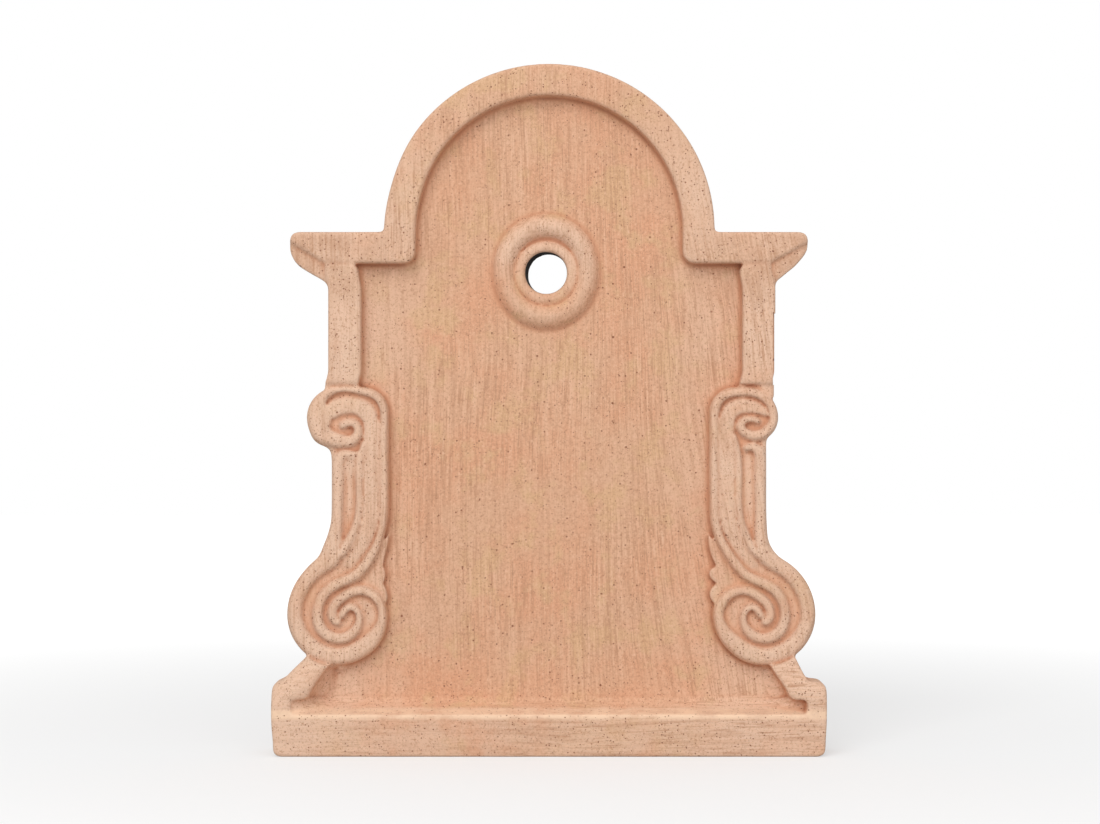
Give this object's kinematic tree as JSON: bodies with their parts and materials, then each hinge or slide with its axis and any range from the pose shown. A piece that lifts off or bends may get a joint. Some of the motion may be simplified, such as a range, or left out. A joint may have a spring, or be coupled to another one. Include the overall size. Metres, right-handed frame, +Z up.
{
  "type": "garden wall fountain back panel",
  "caption": "Arched terracotta wall fountain panel with scroll consoles, a plinth and a round boss with an open spout hole.",
  "frame": {"origin": "middle of the footprint, on the ground under the plinth", "axes": "+Z up, front faces -Y, back rims and plinth lie on the wall plane on the +Y side"},
  "size_m": [0.554, 0.069, 0.692],
  "materials": {
    "terracotta": "matt unglazed fired clay, brushed, with fine pores"
  },
  "bodies": {
    "root": {"arch_back_rim": "terracotta", "arch_moulding": "terracotta", "field_slab": "terracotta", "left_back_rim": "terracotta", "left_console_body": "terracotta", "left_cornice": "terracotta", "left_cornice_ear": "terracotta", "left_inner_strand": "terracotta", "left_leaf_sprig": "terracotta", "left_middle_strand": "terracotta", "left_stem_band": "terracotta", "left_outer_strand": "terracotta", "left_pilaster": "terracotta", "left_plinth_block": "terracotta", "left_strap": "terracotta", "lower_back_rib": "terracotta", "plinth": "terracotta", "right_back_rim": "terracotta", "right_console_body": "terracotta", "right_cornice": "terracotta", "right_cornice_ear": "terracotta", "right_inner_strand": "terracotta", "right_leaf_sprig": "terracotta", "right_middle_strand": "terracotta", "right_stem_band": "terracotta", "right_outer_strand": "terracotta", "right_pilaster": "terracotta", "right_plinth_block": "terracotta", "right_strap": "terracotta", "spout_boss": "terracotta", "spout_collar": "terracotta", "upper_back_rib": "terracotta"}
  },
  "joints": []
}
